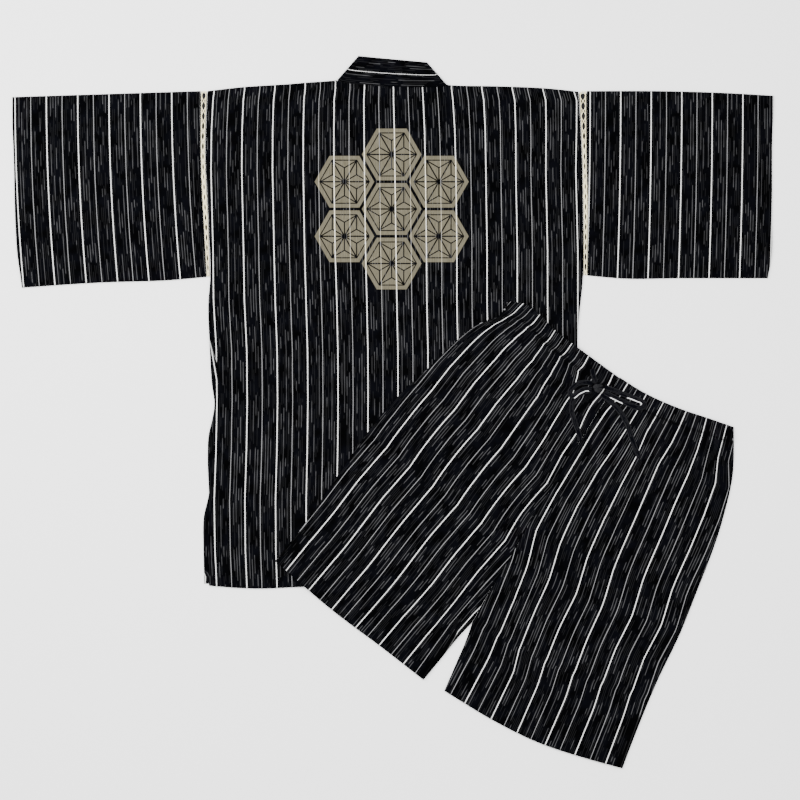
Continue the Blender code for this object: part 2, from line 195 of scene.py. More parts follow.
LEG_LEFT = {
    "waist": ((511, -22), (471, -8), (435, 4), (369, 34), (340, 52)),
    "hem": ((344, -534), (296, -521), (212, -493), (149, -461.5), (76.5, -418)),
    "side": (
        (511, -22), (511.4, -50), (510, -90), (494.5, -161), (451, -281), (431, -331), (397, -402),
        (358, -497), (344, -534)
    ),
    "inside": ((119, -315), (108, -345), (93, -380), (76.5, -418)),
    "inwards": (-0.84, -0.54),
    "from_rise": True,
    "creases": (
        ((200, -175), (300, -120), 0.009, 0.0020),
        ((195, -195), (140, -320), 0.007, 0.0030),
        ((205, -185), (250, -330), 0.010, 0.0018),
        ((142, -278), (132, -316), 0.004, 0.0016),
    ),
    "seed": 34,
    "before": 50,
    "stripes": (
        (0.00, 15, 47, 75, 112, 144, 176),
        (0.05, 15, 49, 77, 116, 152, 184),
        (0.10, 10, 50, 78, 119, 159, 192),
        (0.17, 9, 49, 84, 119, 166, 209),
        (0.26, 10, 46, 87, 126, 172, 219),
        (0.37, 10, 47, 92, 134, 181, 228),
        (0.49, 15, 56, 102, 145, 192, 238),
        (0.59, 29, 67, 113, 156, 203, 249),
        (0.69, 39, 74, 118, 163, 208, 253),
        (0.78, 44, 80, 124, 170, 215, 261),
        (0.86, 42, 85, 126, 172, 217, 263),
        (1.00, 36, 82, 126, 172, 219, 267),
    ),
}

# Where the back's first bold stripe lies, and the one that shows on the front at the lower-left
# corner, which steps to the left at the hem.
FIRST_STRIPE, CORNER_STRIPE, CORNER_STEP = -271.5, -0.2815, 0.012
# How far the body's stripes lie to the right of their even places, in millimetres. A row is for a
# y, and its columns are for the first bold stripe and the fourth, eighth and twelfth after it.
SWAY = (
    (-259, 7.0, 6.0, 5.0, 3.0),
    (-207, 4.4, 5.0, 5.0, 3.0),
    (-132, 3.2, 5.2, 5.0, 3.0),
    (-57, 6.0, 6.5, 5.0, 3.0),
    (18, 7.4, 7.2, 5.0, 3.0),
    (93, 6.5, 6.8, 5.0, 3.0),
    (168, 2.2, 5.2, 3.3, 2.7),
    (243, 1.5, 2.6, 3.3, 2.7),
    (363, -1.5, 0.9, 1.8, -0.3),
    (423, -0.8, 0.8, 0.2, 0.8),
    (468, 1.5, 1.2, -2.7, 1.0),
    (486, 3.7, 3.3, -5.0, -4.5),
)
# The fold line of the small tuck at the left edge, how far it shifts the stripe below it, and the
# width that it takes up, whose columns are closer.
TUCK, TUCK_SHIFT = ((-277, 122), (-258.5, 50)), 0.0115
TUCK_WIDTH, TUCK_GRID = 0.026, 0.001
# The back's larger creases, each (start, end, width, height), as for the legs. The tuck is first.
BACK_CREASES = (
    (*TUCK, 0.004, 0.0028),
    ((-270, 20), (-235, 70), 0.007, 0.0012),
    ((-266, 200), (-160, 60), 0.012, 0.0014),
    ((266, 200), (200, 90), 0.012, 0.0012),
    ((-90, 480), (-230, 380), 0.014, 0.0012),
    ((90, 474), (240, 380), 0.014, 0.0012),
)

# Routes of the drawstring, as (x, y) in millimetres from the knot outwards.
KNOT, KNOT_RADII, KNOT_GRID = (308, 36.5), (0.0076, 0.0066, 0.0040), (48, 25)
STEM = ((299, 66), (301, 54), (305, 43))
STRING_ROUTES = {
    "drawstring_tail_left": (
        (300, 33), (285, 30), (273, 22), (268, 8), (272, -12), (278, -29), (281, -43)
    ),
    "drawstring_tail_right": (
        (312, 28), (324, 18), (340, 2), (351, -17), (357, -36), (364, -55), (370, -69)
    ),
    "drawstring_loop_left": (
        (300, 42.5), (290, 45), (279, 43.5), (270, 37.5), (265.5, 29.5), (268.5, 24), (279, 30.5),
        (290, 35), (299.5, 34)
    ),
    "drawstring_loop_right": (
        (317, 38.5), (330, 33.5), (349, 26), (365, 20), (375, 15), (377, 9.5), (370.5, 6.5),
        (358, 10.4), (346, 15.8), (327, 25), (317, 30)
    ),
}
# Where a loop's cut shows a white stripe: from one share of its length to another, and on which side,
# 1 for the right of its way and -1 for the left.
WHITE_EDGES = {
    "drawstring_loop_left": ((0.62, 0.93, 1),),
    "drawstring_loop_right": ((0.29, 0.47, 1), (0.77, 0.91, -1)),
}


# Curves and surfaces


def mm(points):
    """Points in millimetres, as an array in metres."""
    return np.array(points, float) / 1000


def smooth(points, steps=12):
    """A curve through the points: cubic (Hermite) stretches, where the slope at each point is the
    mean of its two sides'."""
    points = np.array(points, float)
    length = np.linalg.norm(np.diff(points, axis=0), axis=1)[:, None]
    slope = np.diff(points, axis=0) / length
    inner = (slope[:-1] * length[1:] + slope[1:] * length[:-1]) / (length[1:] + length[:-1])
    slopes = np.concatenate((slope[:1], inner, slope[-1:]))
    t = (np.arange(steps) / steps)[None, :, None]
    start, end = points[:-1, None], points[1:, None]
    cubic = (
        (2 * t**3 - 3 * t**2 + 1) * start
        + (t**3 - 2 * t**2 + t) * slopes[:-1, None] * length[:, None]
        + (3 * t**2 - 2 * t**3) * end
        + (t**3 - t**2) * slopes[1:, None] * length[:, None]
    )
    return np.concatenate((cubic.reshape(-1, points.shape[1]), points[-1:]))


def along(points, places):
    """The points at these shares of the length of the smooth curve through points."""
    curve = smooth(points)
    length = np.concatenate(((0,), np.cumsum(np.linalg.norm(np.diff(curve, axis=0), axis=1))))
    return np.stack([np.interp(places, length / length[-1], axis) for axis in curve.T], -1)


def patch(near, far, left, right, u, v):
    """A Coons patch (v, u, 2): each point is the blend of the two edges across u, plus that of the
    two across v, less the blend of the four corners."""
    u, v = u[None, :, None], v[:, None, None]
    corners = (1 - v) * ((1 - u) * near[0] + u * near[-1]) + v * ((1 - u) * far[0] + u * far[-1])
    return (1 - v) * near + v * far + (1 - u) * left[:, None] + u * right[:, None] - corners


def shares(length, cell=GRID):
    """Even places from 0 to 1, about a cell apart on this length."""
    return np.linspace(0, 1, max(2, round(length / cell) + 1))


def bump(distance, width):
    """A soft ridge, one at distance 0: the bell curve exp(-(distance / width) squared)."""
    return np.exp(-((distance / width) ** 2))


def ramp(value, start, end):
    """0 before start, 1 after end, and a smooth step between them."""
    t = np.clip((value - start) / (end - start), 0, 1)
    return t * t * (3 - 2 * t)


def turned(distance, depth):
    """1 over a turned edge this deep, 0 beyond it."""
    return ramp(distance, depth + 0.001, depth - 0.001)


def billow(plan, length, seed):
    """Soft waves from 0 to 1 over a plan: the mean of six sine waves whose headings, lengths (about
    the given one) and starts come from the seed."""
    random = np.random.default_rng(seed)
    heading, start = random.uniform(0, 2 * np.pi, (2, 6))
    turns = 2 * np.pi / (length * random.uniform(0.7, 1.5, 6))
    phase = plan[..., :1] * np.cos(heading) * turns + plan[..., 1:2] * np.sin(heading) * turns + start
    return 0.5 + 0.5 * np.sin(phase).mean(-1)


def from_line(plan, start, end):
    """(distance beside the line, share along it) of each point of plan; the line is in mm."""
    start, end = mm(start), mm(end)
    length = np.linalg.norm(end - start)
    way = (end - start) / length
    offset = plan[..., :2] - start
    return offset[..., 0] * way[1] - offset[..., 1] * way[0], (offset @ way) / length


def creased(plan, relief, creases):
    """relief with a ridge along each line, fading at both ends: a bell across it, a sine along it."""
    for start, end, width, height in creases:
        beside, share = from_line(plan, start, end)
        relief = relief + height * bump(beside, width) * np.sin(np.pi * np.clip(share, 0, 1))
    return relief


class Pile:
    """The height of what lies on the table, on a square raster, one tier of pieces after another.

    Pieces of one tier lie beside each other, so a piece rests on the finished tiers alone.
    """

    STEP, CELLS = 0.002, (601, 561)
    LOW = np.array((-0.60, -0.56))

    def __init__(self):
        self.height = np.zeros(self.CELLS)
        self.tier = self.height.copy()

    def finish_tier(self):
        self.height = np.maximum(self.height, self.tier)

    def add(self, surface, fine=4):
        """Adds a face (rows, columns, 3): each quad is sampled at even steps, bilinearly."""
        s, t = (np.arange(fine) / fine)[:, None, None], (np.arange(fine) / fine)[None, :, None]
        corners = surface[:-1, :-1], surface[:-1, 1:], surface[1:, :-1], surface[1:, 1:]
        a, b, c, d = (points[:, :, None, None] for points in corners)
        points = ((1 - s) * ((1 - t) * a + t * b) + s * ((1 - t) * c + t * d)).reshape(-1, 3)
        cell = np.rint((points[:, :2] - self.LOW) / self.STEP).astype(int)
        np.maximum.at(self.tier, (cell[:, 0], cell[:, 1]), points[:, 2])

    def under(self, plan, reach=0.011):
        """The height of an underside: the highest within reach, then softened over that reach twice
        by a running mean, so that it never dips below what it lies on."""
        cells = int(np.ceil(reach / self.STEP))
        height = self.height
        for axis in (0, 1):
            height = np.max([np.roll(height, k, axis) for k in range(-cells, cells + 1)], axis=0)
        for axis in (0, 1, 0, 1):
            half = cells // 2
            height = np.mean([np.roll(height, k, axis) for k in range(-half, half + 1)], axis=0)
        place = (plan - self.LOW) / self.STEP
        cell = np.floor(place).astype(int)
        s, t = np.moveaxis(place - cell, -1, 0)
        i, j = np.moveaxis(cell, -1, 0)
        below = (1 - s) * ((1 - t) * height[i, j] + t * height[i, j + 1])
        below += s * ((1 - t) * height[i + 1, j] + t * height[i + 1, j + 1])
        return below + LAYER_GAP * ramp(below, 0, 0.0004)


pile = Pile()


# Meshes


def grid_faces(rows, columns, start=0):
    """The quads of a grid of points, as corner indices from start on."""
    index = np.arange(rows * columns).reshape(rows, columns) + start
    corners = index[:-1, :-1], index[:-1, 1:], index[1:, 1:], index[1:, :-1]
    return np.stack(corners, -1).reshape(-1, 4)


def ring_faces(rings, sides):
    """The quads between rings of points, and those that cap the first and the last ring."""
    index = np.arange(rings * sides).reshape(rings, sides)
    after = np.roll(index, -1, axis=1)
    around = np.stack((index[:-1], after[:-1], after[1:], index[1:]), -1).reshape(-1, 4)
    half = sides // 2 - 1
    caps = np.array([row[[i, i + 1, -2 - i, -1 - i]] for row in index[[0, -1]] for i in range(half)])
    caps[:half] = caps[:half, ::-1]
    return np.concatenate((around, caps))


def wall(outer, inner, cloth):
    """(points, faces, uv) of a closed wall between two grids of points, joined all round their rim.
    cloth is the UV of both."""
    rows, columns = outer.shape[:2]
    count = rows * columns
    index = np.arange(count).reshape(rows, columns)
    rim = np.concatenate((index[0], index[1:, -1], index[-1, -2::-1], index[-2:0:-1, 0]))
    after = np.roll(rim, -1)
    sides = np.stack((after, rim, rim + count, after + count), -1)
    faces = np.concatenate((grid_faces(rows, columns), grid_faces(rows, columns, count)[:, ::-1], sides))
    points = np.concatenate((outer.reshape(-1, 3), inner.reshape(-1, 3)))
    return points, faces, np.tile(cloth.reshape(-1, 2), (2, 1))


def outwards(points, faces):
    """The faces of a closed part, turned to face outwards by the sign of its volume."""
    a, b, c, d = points[faces].swapaxes(0, 1)
    volume = np.einsum("ij,ij->i", a, np.cross(b, c)) + np.einsum("ij,ij->i", a, np.cross(c, d))
    return faces if volume.sum() > 0 else faces[:, ::-1]


def joined(parts):
    """One (points, faces, uv) from closed parts, each turned to face outwards."""
    points, faces, uv = zip(*parts)
    starts = np.cumsum((0, *map(len, points)))
    faces = [outwards(*part) + start for *part, start in zip(points, faces, starts)]
    return np.concatenate(points), np.concatenate(faces), np.concatenate(uv)


def add_mesh(node, points, faces, uv, material, slot, marks=None):
    """A piece of quads in place of a node, facing outwards. uv has a pair of numbers for each point,
    and marks a number for each point, by their names."""
    name = f"soft_{node}"
    faces = outwards(points, faces)
    mesh = bpy.data.meshes.new(name)
    mesh.vertices.add(len(points))
    mesh.vertices.foreach_set("co", points.astype(np.float32).ravel())
    mesh.loops.add(faces.size)
    mesh.loops.foreach_set("vertex_index", faces.astype(np.int32).ravel())
    mesh.polygons.add(len(faces))
    mesh.polygons.foreach_set("loop_start", np.arange(0, faces.size, 4, dtype=np.int32))
    mesh.update(calc_edges=True)
    mesh.polygons.foreach_set("use_smooth", np.ones(len(faces), bool))
    corners = uv[faces.ravel()].astype(np.float32)
    mesh.uv_layers.new(name="cloth").data.foreach_set("uv", corners.ravel())
    for mark, values in (marks or {}).items():
        attribute = mesh.attributes.new(mark, "FLOAT", "POINT")
        attribute.data.foreach_set("value", values.astype(np.float32))
    mesh.materials.append(material)
    piece = bpy.data.objects.new(name, mesh)
    bpy.context.scene.collection.objects.link(piece)
    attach(piece, "root")
    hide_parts(node)
    return piece


def add_wall(node, outer, inner, cloth, material, slot="striped_cotton", marks=None):
    """A piece that is a wall between two grids of points, which share cloth and marks."""
    both = {mark: np.tile(values.ravel(), 2) for mark, values in (marks or {}).items()}
    return add_mesh(node, *wall(outer, inner, cloth), material, slot, both)


def raised(plan, height):
    """The plan's points (rows, columns, 2) at this height, one for all or one for each."""
    return np.concatenate((plan, np.broadcast_to(height, plan.shape[:2])[..., None]), -1)


def bend(middle, way, below, above, angles):
    """The inner rows of a bend seen edge on: half circles from below to above, bulging along way."""
    half, level = (above - below) / 2, (below + above) / 2
    return [
        np.concatenate((middle + way * np.abs(half) * np.cos(a), level + half * np.sin(a)), -1)
        for a in np.radians(angles)
    ]


def lay_flat(name, plan, cloth, material, thick=CLOTH, relief=0.0, **more):
    """One layer with this plan (rows, columns, 2) on the pile."""
    under = pile.under(plan) + relief
    top = raised(plan, under + thick)
    piece = add_wall(name, top, raised(plan, under), cloth, material, **more)
    pile.add(top)
    return piece


def lay_folded(name, plan, cloth, low, thick, open_by, marks):
    """Two layers of cotton folded along the first row of plan, and the plan at their top. The bend is
    a half circle in every column, from the lower layer's height to the upper's. cloth is the upper
    layer's UV; the lower one's is its mirror image across the fold."""
    low = np.broadcast_to(low, plan.shape[:2])
    inside_low = low + thick
    inside_high = inside_low + LAYER_GAP + open_by
    high = inside_high + thick
    inwards = plan[1] - plan[0]
    inwards /= np.linalg.norm(inwards, axis=-1, keepdims=True)
    middle = plan[0] + inwards * (high[0] - low[0])[:, None] / 2
    angles = -90, -60, -30, 0, 30, 60, 90

    def unfolded(lower, upper):
        return np.concatenate((lower[:0:-1], np.repeat(upper[:1], len(angles), axis=0), upper[1:]))

    faces = []
    for below, above in ((low, high), (inside_low, inside_high)):
        turn = bend(middle, -inwards, below[0][:, None], above[0][:, None], angles)
        faces.append(np.concatenate((raised(plan, below)[:0:-1], turn, raised(plan, above)[1:])))
    mirrored = 2 * cloth[:1] - cloth
    mirrored[..., 1] = cloth[..., 1]
    both = {mark: unfolded(values, values) for mark, values in marks.items()}
    return add_wall(name, *faces, unfolded(mirrored, cloth), COTTON, marks=both), raised(plan, high)


def tube(path, width, thickness, sides, square=1.0):
    """(points, faces, uv) of a closed tube along path: its section is a superellipse width by
    thickness, whose cosine and sine are raised to the power square, and its level side stays across
    the path. The width may be one for each point of the path, as a column."""
    heading = np.gradient(path, axis=0)
    heading /= np.linalg.norm(heading, axis=1, keepdims=True)
    side = np.cross(heading, (0, 0, 1))
    side /= np.linalg.norm(side, axis=1, keepdims=True)
    up = np.cross(side, heading)
    angle = np.linspace(0, 2 * np.pi, sides, endpoint=False)
    across = np.sign(np.cos(angle)) * np.abs(np.cos(angle)) ** square * width / 2
    over = np.sign(np.sin(angle)) * np.abs(np.sin(angle)) ** square * thickness / 2
    across = np.broadcast_to(across, (len(path), sides))
    taper = np.ones(len(path))
    taper[[0, -1]] = 0.05
    ring = across[..., None] * side[:, None] + over[:, None] * up[:, None]
    points = path[:, None] + ring * taper[:, None, None]
    length = np.concatenate(((0,), np.cumsum(np.linalg.norm(np.diff(path, axis=0), axis=1))))
    uv = np.stack(np.broadcast_arrays(across, length[:, None]), -1).reshape(-1, 2)
    return points.reshape(-1, 3), ring_faces(len(path), sides), uv


# Materials


class Value:
    """A number that varies over a surface. Arithmetic on it adds Math nodes."""

    def __init__(self, finish, socket):
        self.finish, self.socket = finish, socket

    def math(self, operation, *others, first=None):
        """One Math node on this value, or on first in its place, and the others."""
        values = dict(enumerate((first if first is not None else self, *others)))
        return self.finish.value(self.finish.node("Math", {"operation": operation}, values))

    def __add__(self, other):
        return self.math("ADD", other)

    def __sub__(self, other):
        return self.math("SUBTRACT", other)

    def __rsub__(self, other):
        return self.math("SUBTRACT", self, first=other)

    def __mul__(self, other):
        return self.math("MULTIPLY", other)

    def __truediv__(self, other):
        return self.math("DIVIDE", other)

    __radd__, __rmul__ = __add__, __mul__

    def floor(self):
        return self.math("FLOOR")

    def distance_from_whole(self):
        """How far it is from the nearest whole number."""
        return (self + 0.5).math("FRACT").math("SUBTRACT", 0.5).math("ABSOLUTE")

    def step(self, low, high):
        """0 at low, 1 at high, smooth between."""
        settings = {"interpolation_type": "SMOOTHSTEP"}
        ends = (min(low, high), max(low, high), float(low > high), float(low < high))
        return self.finish.value(self.finish.node("MapRange", settings, dict(enumerate((self, *ends)))))

    def most(self, other):
        """The larger of the two."""
        return self.math("MAXIMUM", other)


class Finish:
    """A Principled material and its nodes."""

    def __init__(self, name, roughness=0.85):
        self.material = bpy.data.materials.new(name)
        self.material.use_nodes = True
        self.tree = self.material.node_tree
        self.shader = self.tree.nodes["Principled BSDF"]
        self.shader.inputs["Roughness"].default_value = roughness
        self.shader.inputs["Specular IOR Level"].default_value = 0.01

    def node(self, kind, settings=None, sockets=None):
        node = self.tree.nodes.new("ShaderNode" + kind)
        for name, value in (settings or {}).items():
            setattr(node, name, value)
        for name, value in (sockets or {}).items():
            socket = value.socket if isinstance(value, Value) else value
            if isinstance(socket, bpy.types.NodeSocket):
                self.tree.links.new(socket, node.inputs[name])
            else:
                node.inputs[name].default_value = socket
        return node

    def value(self, node, output=0):
        return Value(self, node.outputs[output])

    def cloth(self):
        """(across the stripes, along them), in metres."""
        split = self.node("SeparateXYZ", sockets={0: self.node("UVMap", {"uv_map": "cloth"}).outputs[0]})
        return self.value(split, 0), self.value(split, 1)

    def place(self):
        """The point of the piece itself, in metres: a vector, its x and its y."""
        vector = self.node("TexCoord").outputs["Object"]
        split = self.node("SeparateXYZ", sockets={0: vector})
        return vector, self.value(split, 0), self.value(split, 1)

    def vector(self, x, y, z=0.0):
        """A vector from three values."""
        return self.node("CombineXYZ", sockets={0: x, 1: y, 2: z}).outputs[0]

    def noise(self, vector, scale=1.0, detail=2.0):
        """Smooth noise from 0 to 1, with this many finer layers."""
        sockets = {"Vector": vector, "Scale": scale, "Detail": detail}
        return self.value(self.node("TexNoise", sockets=sockets))

    def mix(self, share, first, second):
        """A colour between two: first where share is 0, second where it is 1."""
        sockets = {0: share, 6: self.colour(first), 7: self.colour(second)}
        return self.node("Mix", {"data_type": "RGBA"}, sockets).outputs[2]

    @staticmethod
    def colour(value):
        return (*value, 1) if isinstance(value, tuple) else value

    def mark(self, name):
        """A mark of the piece, by its name."""
        return self.value(self.node("Attribute", {"attribute_name": name}), 2)

    def put(self, colour, roughness, height, depth):
        """Links what varies: a colour, a roughness, and a height of up to depth metres as a bump."""
        relief = self.node("Bump", sockets={"Strength": 1.0, "Distance": depth, "Height": height})
        for name, socket in (
            ("Base Color", colour), ("Roughness", roughness.socket), ("Normal", relief.outputs[0])
        ):
            self.tree.links.new(socket, self.shader.inputs[name])
        return self.material


# Colours, and the dashes of slub: their lane, thickness and length in metres, then the least value
# of the noise that makes a dash, and where in the noise they start.
INK, INK_BLUE = (0.0002, 0.0002, 0.0003), (0.0011, 0.0012, 0.0020)
SLUB, GREY_YARN, WHITE_YARN = (0.072, 0.072, 0.075), (0.165, 0.165, 0.17), (0.60, 0.60, 0.595)
PRINT_KHAKI, PRINT_PALE, PRINT_CREAM = (0.078, 0.070, 0.047), (0.125, 0.115, 0.084), (0.55, 0.50, 0.36)
THREAD_DARK, THREAD_PALE = (0.62, 0.53, 0.31), (0.96, 0.89, 0.61)
SLUB_DASHES, FINE_DASHES = (0.0038, 0.0009, 0.036, 0.555, 0.0), (0.0026, 0.0008, 0.022, 0.50, 50.0)
TIE_DASHES = (0.0011, 0.0008, 0.012, 0.47, 20.0)


def slubs(finish, across, along_, lane, thick, length, least, shift):
    """Dashes of pale slub yarn: the cloth is cut into lanes, and a dash lies in the middle of a lane
    where a noise along it, raised in patches, is over the least value."""
    turn = across / lane
    number = turn.floor()
    lanes = finish.vector(number * 7.31 + shift, along_ / length + number * 3.7, 0.37)
    yarn = finish.noise(lanes, detail=0.0)
    patchy = finish.noise(finish.vector(across * 95 + shift, along_ * 20, 0.71), detail=1.0)
    edge = thick / lane / 2
    middle = (turn - 0.5).distance_from_whole().step(edge + 0.06, edge - 0.06)
    return (yarn + (patchy - 0.5) * 0.16).step(least, least + 0.03) * middle


def striped_cotton(name, printed=False):
    """Near-black cotton: bold white stripes, a grey one midway that swells in places, dashes of grey
    slub, and a fine twill. The mark "hem" is the distance from a turned edge, and "thin" is what a
    bold stripe loses on each side. The painted-shade mark is 1 where ink is painted over the stripes:
    painted shade in the casing's groove and under the back's tuck fold, and dark paint along the free
    inside leg's edge."""
    finish = Finish(name)
    across, along_ = finish.cloth()
    turn = across / STRIPE
    ragged = finish.noise(finish.vector(across * 900, along_ * 420), detail=1.0) - 0.5
    swell = finish.noise(finish.vector((turn + 0.5).floor() * 5.3, along_ * 24), detail=0.0)
    swell = swell.step(0.52, 0.66)
    bead = ((across * 0.6 + along_) / 0.0021).distance_from_whole() * 0.0006 - 0.00015
    from_bold = turn.distance_from_whole() * STRIPE + ragged * 0.0007 + bead + finish.mark("thin")
    from_grey = (turn + 0.5).distance_from_whole() * STRIPE + ragged * 0.0005
    bold = from_bold.step(BOLD / 2 + 0.0002, BOLD / 2 - 0.0002)
    grey = (from_grey - swell * GREY * 0.45).step(GREY / 2 + 0.0002, GREY / 2 - 0.0002)
    beside = from_bold.math("MINIMUM", from_grey).step(0.0032, 0.0020)
    wear_and_highlight = finish.noise(finish.vector(across * 40, along_ * 40)).step(0.3, 0.7)
    slub = slubs(finish, across, along_, *SLUB_DASHES)
    fine = slubs(finish, across, along_, *FINE_DASHES)
    tuck = finish.mark("tuck")
    ground = finish.mix(wear_and_highlight, INK, INK_BLUE)
    ground = finish.mix(fine * 0.08, ground, SLUB)
    ground = finish.mix(slub * (0.30 + 0.36 * wear_and_highlight), ground, SLUB)
    ground = finish.mix(beside * 0.85, ground, INK)
    grey_yarn, white_yarn = GREY_YARN, WHITE_YARN
    if printed:
        print_ = tile_print(finish) * (0.95 - 0.08 * wear_and_highlight)
        weave = finish.noise(finish.vector(across * 1100, along_ * 90), detail=1.0).step(0.3, 0.75)
        khaki = finish.mix(weave * 0.55 + fine * 0.3, PRINT_KHAKI, PRINT_PALE)
        ground = finish.mix(print_, ground, khaki)
        grey_yarn = finish.mix(print_, GREY_YARN, PRINT_CREAM)
        white_yarn = finish.mix(print_, WHITE_YARN, PRINT_CREAM)
        grey = grey * (1 - 0.62 * print_)
    ground = finish.mix(grey * (1 - 0.35 * swell), ground, grey_yarn)
    ground = finish.mix(bold * (1 - 0.12 * wear_and_highlight), ground, white_yarn)
    # Painted shade: the ground turns to ink where the painted-shade mark is 1.
    ground = finish.mix(tuck, ground, INK)
    line = (finish.mark("hem") - HEM_DEPTH).math("ABSOLUTE").step(0.0006, 0.0002)
    stitch = line * (along_ / 0.0032 + across / 0.0032).distance_from_whole().step(0.1, 0.2)
    warp = (across / 0.0005).distance_from_whole() * 2
    twill = ((across + along_) / 0.0011).distance_from_whole() * 2
    crumple = finish.noise(finish.place()[0], 38, 3)
    height = warp * 0.1 + twill * 0.14 + slub * 0.3 + fine * 0.15 + crumple * 1.3
    return finish.put(ground, 0.82 + 0.12 * fine, height - line * 0.6 + stitch * 0.7, 0.0006)


def tile_print(finish):
    """A rosette of seven hexagons, each a hemp leaf in khaki cut by dark lines."""
    _, x, y = finish.place()
    x, y = x - PRINT_MIDDLE[0], y - PRINT_MIDDLE[1]
    x, y = fold_to_twelfth(x, y)
    middle = leaf(x, y)
    side = TILE * np.sqrt(3) + 0.003
    around = leaf(*fold_to_twelfth(x - side * np.cos(np.pi / 6), y - side * np.sin(np.pi / 6)))
    return middle.most(around)


def fold_to_twelfth(x, y):
    """The point folded by mirrors into the twelfth of a turn that starts at the x axis: across both
    axes, then across the lines at 60 and at 30 degrees, wherever it lies beyond them."""
    x, y = x.math("ABSOLUTE"), y.math("ABSOLUTE")
    for slope in np.radians((60, 30)):
        beyond = (y * np.cos(slope) - x * np.sin(slope)).math("MAXIMUM", 0.0)
        x, y = x + beyond * 2 * np.sin(slope), (y - beyond * 2 * np.cos(slope)).math("ABSOLUTE")
    return x, y


def leaf(x, y):
    """A hexagon in a frame, in a twelfth: khaki, 1, but for its dark lines. The hemp leaf's lines run
    from the middle to the corner, from the middle to the heart of the triangle beside it, and from
    there to the corner."""
    half, soft = np.sqrt(3) / 2, 0.0003
    edge = x * half + y * 0.5
    size = TILE * 0.80
    leaf_edge, frame_in, frame_out = size * half, TILE * 0.84 * half, TILE * 0.985 * half
    inside = edge.step(leaf_edge + soft, leaf_edge - soft)
    frame = edge.step(frame_in - soft, frame_in + soft) * edge.step(frame_out + soft, frame_out - soft)
    spoke = y.step(0.0013, 0.0007)
    rim = x * 0.5 + y * half - size * 0.5
    lobe = rim.math("ABSOLUTE").step(0.0011, 0.0006)
    heart = (x * 0.5 - y * half).step(0.0011, 0.0006) * rim.step(0.0002, -0.0002)
    return frame.most(inside * (1 - spoke.most(lobe).most(heart)))


def tie_cotton(name, edged):
    """The drawstring's and the ties' cotton, dark, with a painted highlight along its folded edges. A
    white stripe that the cut has left lies where U is over its edge value, if the cotton is edged."""
    finish = Finish(name)
    across, along_ = finish.cloth()
    fine = slubs(finish, across, along_, *TIE_DASHES)
    twill = ((across + along_) / 0.0011).distance_from_whole() * 2
    # Painted highlight: the colour is paler where U is past 2.4 mm from the middle, towards the edges.
    wear_and_highlight = across.math("ABSOLUTE").step(0.0024, 0.0031) * 0.10
    ground = finish.mix(wear_and_highlight + fine * 0.09, INK_BLUE, SLUB)
    if edged:
        ragged = finish.noise(finish.vector(across * 900, along_ * 420), detail=1.0) - 0.5
        white = (finish.mark("stripe") + ragged * 0.0006).step(0.0021, 0.0026)
        ground = finish.mix(white, ground, WHITE_YARN)
    return finish.put(ground, 0.84 + 0.1 * fine, twill * 0.3 + fine * 0.3, 0.0005)


def thread_cotton():
    """Cream cotton thread: twisted plies seen as slanting bands round it, raised as bumps, with
    painted shade darkening the grooves between them and a tone that varies at random.
    """
    finish = Finish("cream_thread", 0.8)
    across, along_ = finish.cloth()
    ply = (along_ / 0.0016 + across / 0.0012).distance_from_whole() * 2
    tone = finish.noise(finish.place()[0], 300, 2)
    # Painted shade: the colour is darkest in the grooves between plies, where the bump is lowest.
    colour = finish.mix(ply * 0.5 + tone * 0.5, THREAD_DARK, THREAD_PALE)
    return finish.put(colour, 0.75 + 0.15 * tone, ply, 0.0002)


COTTON = striped_cotton("striped_cotton")
PRINTED = striped_cotton("striped_cotton_printed", printed=True)
TIE_COTTON = tie_cotton("tie_cotton", edged=False)
EDGED_COTTON = tie_cotton("tie_cotton_edged", edged=True)
THREAD = thread_cotton()


# Jacket


def lay_tie(name, start, end):
    """A straight tie from start to end, in millimetres."""
    start, end = mm(start), mm(end)
    length = np.linalg.norm(end - start)
    side = np.array((start[1] - end[1], end[0] - start[0])) / length
    u, v = shares(TIE_WIDTH, 0.003), shares(length)
    middle = start + (end - start) * v[:, None]
    plan = middle[:, None] + side * TIE_WIDTH * (u[:, None] - 0.5)
    cloth = np.stack(np.meshgrid((u - 0.5) * TIE_WIDTH, v * length), -1)
    piece = lay_flat(name, plan, cloth, TIE_COTTON, TIE_CLOTH, slot="tie_cloth")


def collar_arm(crease_ends, lean):
    """Plan of one arm, rows from its crease to the hem; column 0 is sewn to the front."""
    direction = np.array((lean * np.cos(COLLAR_SLANT), -np.sin(COLLAR_SLANT)))
    ends = mm(crease_ends)
    across = ends[0] + (ends[1] - ends[0]) * shares(COLLAR_WIDTH)[:, None]
    length = (across[:, 1] + BODY_FOOT) / np.sin(COLLAR_SLANT)
    return across + shares(COLLAR_ARM)[:, None, None] * length[:, None] * direction


def body_cloth(plan):
    """The cloth of a body panel: U is x less the stripes' sway, so a bold stripe lies at every whole
    STRIPE. Below the tuck's line U is shifted, most at the edge, because the fold hides some cloth."""
    rows = np.array(SWAY)
    x, y = plan[..., 0], plan[..., 1]
    sways = np.stack([np.interp(y, rows[:, 0] / 1000, column) for column in rows[:, 1:].T], -1)
    turn = np.clip((x * 1000 - FIRST_STRIPE) / (STRIPE * 4000), 0, 2.9999)
    left = np.floor(turn).astype(int)[..., None]
    sway = np.take_along_axis(sways, left, -1)[..., 0] * (1 - turn % 1)
    sway += np.take_along_axis(sways, left + 1, -1)[..., 0] * (turn % 1)
    beside, share = from_line(plan, *TUCK)
    tucked = TUCK_SHIFT * np.clip(1 - share, 0, 1) * ramp(beside, -0.0004, 0.0012)
    tucked *= ramp(share, -0.3, 0)
    return np.stack((x - (FIRST_STRIPE + sway) / 1000 + tucked, y), -1)


